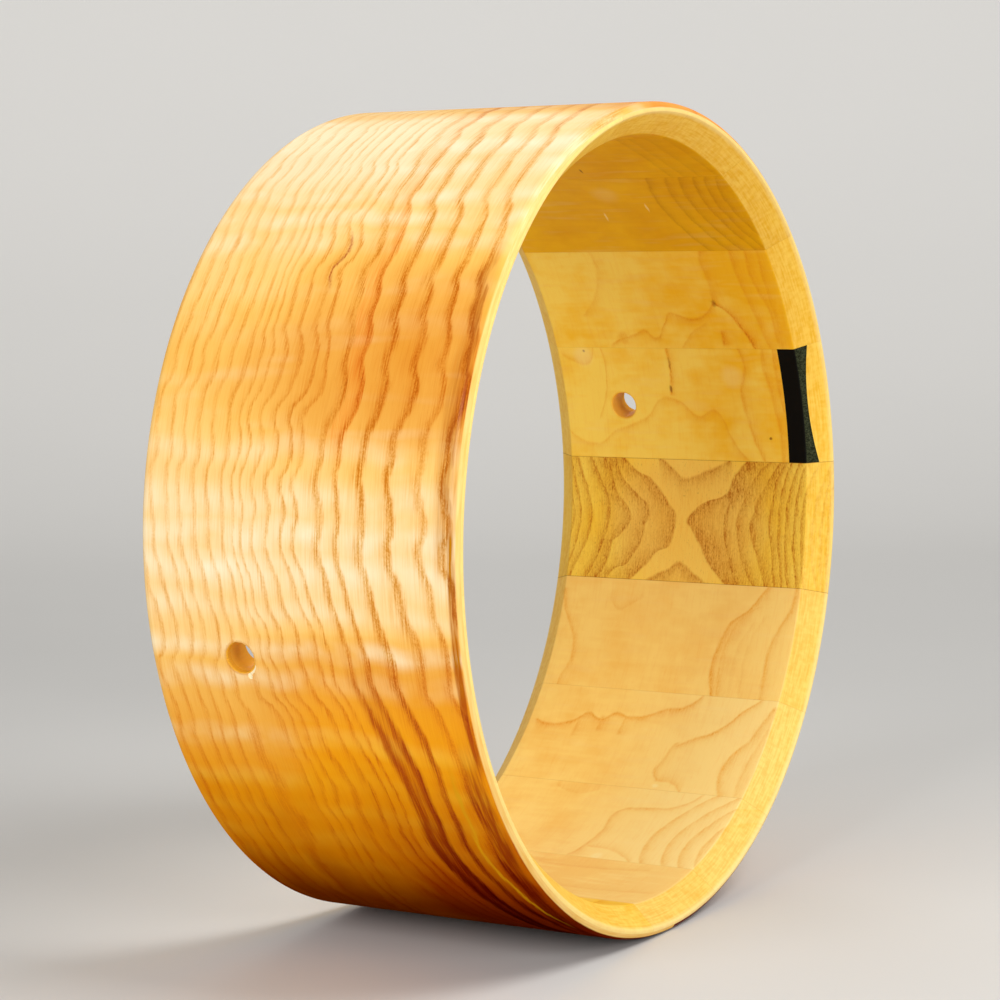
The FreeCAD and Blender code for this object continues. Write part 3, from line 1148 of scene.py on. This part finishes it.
def strip_finish():
    """Black wood, polished inside; greyer on the sloping cut, partly open grain and partly painted sheen.
    """
    wood = Finish("black_wood")
    cut_face = wood.radius.rise(INNER_RADIUS * MM + 0.15, INNER_RADIUS * MM + 0.6)
    grain = wood.grain_noise(6.0, 1.3, 3.0)
    ridges = wood.grain_noise(9.0, 0.5, 4.0, detail=1.0)
    tone = wood.mix((grain * 0.5 + 0.3).clamped(), STRIP_BLACK, STRIP_BROWN)
    # partly painted sheen and partly open grain on the sloping cut
    sheen_and_grain_share = (0.3 + ridges + grain * 0.5).clamped()
    sheen_and_open_grain = wood.mix(sheen_and_grain_share, STRIP_OLIVE, STRIP_GREY)
    tone = wood.mix(cut_face, tone, sheen_and_open_grain)
    return wood.surface(
        {
            "Base Color": tone,
            "Roughness": (0.55 + cut_face * 0.1 + grain * 0.06).clamped(),
            "Normal": wood.bump(grain * 0.01 + ridges * cut_face * 0.03),
        },
        {"Specular IOR Level": 0.08},
    )


# The pieces


def finish_piece(piece, node, material):
    """Stands the piece where its node is, gives it its material, fixes it to the root body and hides the
    node.
    """
    make_active(piece)
    piece.location.z = AXIS_HEIGHT
    bpy.ops.object.transform_apply(location=True, rotation=True, scale=True)
    piece.data.materials.clear()
    piece.data.materials.append(material)
    smooth(piece)
    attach(piece, "root")
    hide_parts(node)


def build_ply(drills, chips):
    ply = ply_ring("figured_ply")
    for tool in (*drills, *chips):
        cut(ply, tool)
    finish_piece(ply, "outer_ply", ply_finish())


def build_staves(drills):
    even = stave_blank("even_blank", EVEN_STAVE)
    wide = stave_blank("wide_blank", WIDE_STAVE)
    rebate = strip_cutter("strip_rebate")
    for number in range(1, STAVE_COUNT + 1):
        blank = wide if number == STAVE_COUNT else even
        stave = copied(blank, f"shell_stave_{number:02d}")
        turned(stave, FIRST_JOINT + EVEN_STAVE * (number - 1))
        if number == 1:
            build_strip(stave, rebate)
            cut(stave, rebate)
            cut(stave, drills[0])
        if number == 10:
            cut(stave, drills[1])
        finish_piece(stave, f"stave_{number:02d}", stave_finish(number))
    return even, wide, rebate


def build_strip(stave, rebate):
    """The black strip fills the rebate, flush with the stave."""
    strip = copied(stave, "black_strip")
    cut(strip, rebate, "INTERSECT")
    make_active(strip)
    ease = strip.modifiers.new("ease", "BEVEL")
    ease.width = STRIP_EASE
    ease.segments = 1
    ease.limit_method = "ANGLE"
    bpy.ops.object.modifier_apply(modifier=ease.name)
    finish_piece(strip, "edge_inlay", strip_finish())


def build_shell():
    drills = [
        vent_cutter("far_drill", FAR_VENT_X, VENT_ANGLE, 0.00008),
        vent_cutter("near_drill", NEAR_VENT_X, VENT_ANGLE + 180.0, 0.0002),
    ]
    chips = [
        splinter_cutter("long_chip", -0.0241, 194.8, (0.0013, 0.0006, 0.0028), 30.0),
        splinter_cutter("short_chip", -0.0259, 195.7, (0.0012, 0.0005, 0.0017), -8.0),
    ]
    build_ply(drills, chips)
    spent = build_staves(drills)
    for tool in (*drills, *chips, *spent):
        bpy.data.objects.remove(tool)


# The stage, the light and the camera

FLOOR_REACH = 5.0
SWEEP_DISTANCE = 2.9
SWEEP_HEIGHT = 3.4
SWEEP_RADIUS = 1.6
FLOOR_TINT = colour(214, 212, 208)
FLOOR_PALE = colour(218, 216, 212)
FLOOR_GLOW = 0.5

# Each soft box's name, place, width and watts: beside the camera, above the mouth of the shell,
# in front of it and behind it
LAMPS = (
    ("key", (-0.15, -1.8, 0.86), 1.0, 17.2),
    ("mouth", (1.05, 0.15, 1.5), 0.8, 16.5),
    ("front", (1.7, -0.9, 0.7), 0.8, 12.8),
    ("back", (-0.8, 1.1, 1.25), 0.7, 2.5),
)
WORLD_STRENGTH = 0.3

CAMERA_PLACE = Vector((0.59818, -1.04787, 0.12289 + OUTER_RADIUS))
CAMERA_YAW = math.radians(120.16)
CAMERA_PITCH = math.radians(-5.50)
CAMERA_ROLL = math.radians(-0.82)
SENSOR = 36.0
LENS = 99.19


def build_floor():
    """A pale floor that sweeps up behind the shell."""
    deselect()
    bpy.ops.mesh.primitive_plane_add(size=2 * FLOOR_REACH, location=(0.0, 0.0, 0.0))
    floor = added("studio_floor")
    back = lambda e: all(v.co.y > FLOOR_REACH - 0.01 for v in e.verts)
    with editing(floor, "EDGE"):
        pick(floor, "edges", back)
        bpy.ops.transform.translate(value=(0.0, SWEEP_DISTANCE - FLOOR_REACH, 0.0))
        bpy.ops.mesh.extrude_region_move(TRANSFORM_OT_translate={"value": (0, 0, SWEEP_HEIGHT)})
        fold = lambda e: all(near(v.co.y, SWEEP_DISTANCE) and near(v.co.z, 0.0) for v in e.verts)
        pick(floor, "edges", fold)
        bpy.ops.mesh.bevel(affect="EDGES", offset=SWEEP_RADIUS, segments=24)
    floor.rotation_euler.z = CAMERA_YAW - math.radians(90.0)
    make_active(floor)
    bpy.ops.object.transform_apply(location=True, rotation=True, scale=True)
    smooth(floor)
    paper = Finish("studio_paper")
    clouds = (0.5 + 0.5 * paper.grain_noise(300.0, 300.0)).clamped()
    shade = paper.mix(clouds, FLOOR_TINT, FLOOR_PALE)
    # behind the shell, and past the lamps in front of it, the paper is kept as pale by a glow
    behind = paper.x * math.cos(CAMERA_YAW) + paper.y * math.sin(CAMERA_YAW)
    unlit = behind.rise(500.0, 2700.0) + (-behind).rise(1700.0, 2600.0)
    camera, glossy, through = (
        paper.node("ShaderNodeLightPath", output=f"Is {ray} Ray")
        for ray in ("Camera", "Glossy", "Transmission")
    )
    seen = (camera + glossy + through).clamped()
    glow = paper.mix(unlit * seen, (0.0, 0.0, 0.0, 1.0), FLOOR_TINT)
    varying = {"Base Color": shade, "Emission Color": glow}
    constant = {"Roughness": 0.9, "Emission Strength": FLOOR_GLOW}
    floor.data.materials.append(paper.surface(varying, constant))


def add_lamp(name, place, size, watts):
    """A square soft box that faces the middle of the shell."""
    lamp = bpy.data.lights.new(name, "AREA")
    lamp.size = size
    lamp.energy = watts
    holder = bpy.data.objects.new(name, lamp)
    holder.location = place
    aim = Vector((0.0, 0.0, AXIS_HEIGHT)) - Vector(place)
    holder.rotation_euler = aim.to_track_quat("-Z", "Y").to_euler()
    bpy.context.scene.collection.objects.link(holder)


def light_studio():
    """The lamps, and an even, dim world."""
    for lamp in LAMPS:
        add_lamp(*lamp)
    world = bpy.data.worlds.new("studio")
    bpy.context.scene.world = world
    world.use_nodes = True
    sky = world.node_tree.nodes["Background"]
    sky.inputs["Color"].default_value = (1.0, 1.0, 1.0, 1.0)
    sky.inputs["Strength"].default_value = WORLD_STRENGTH


def place_camera():
    """Puts the camera where the photograph was taken from."""
    level = math.cos(CAMERA_PITCH)
    look = Vector(
        (level * math.cos(CAMERA_YAW), level * math.sin(CAMERA_YAW), math.sin(CAMERA_PITCH))
    )
    lens = bpy.data.cameras.new("camera")
    lens.sensor_width = SENSOR
    lens.lens = LENS
    camera = bpy.data.objects.new("camera", lens)
    camera.location = CAMERA_PLACE
    camera.rotation_mode = "QUATERNION"
    roll = Quaternion((0.0, 0.0, 1.0), CAMERA_ROLL)
    camera.rotation_quaternion = look.to_track_quat("-Z", "Y") @ roll
    bpy.context.scene.collection.objects.link(camera)
    bpy.context.scene.camera = camera


build_shell()
build_floor()
light_studio()
place_camera()
bpy.context.scene.view_settings.view_transform = "Standard"
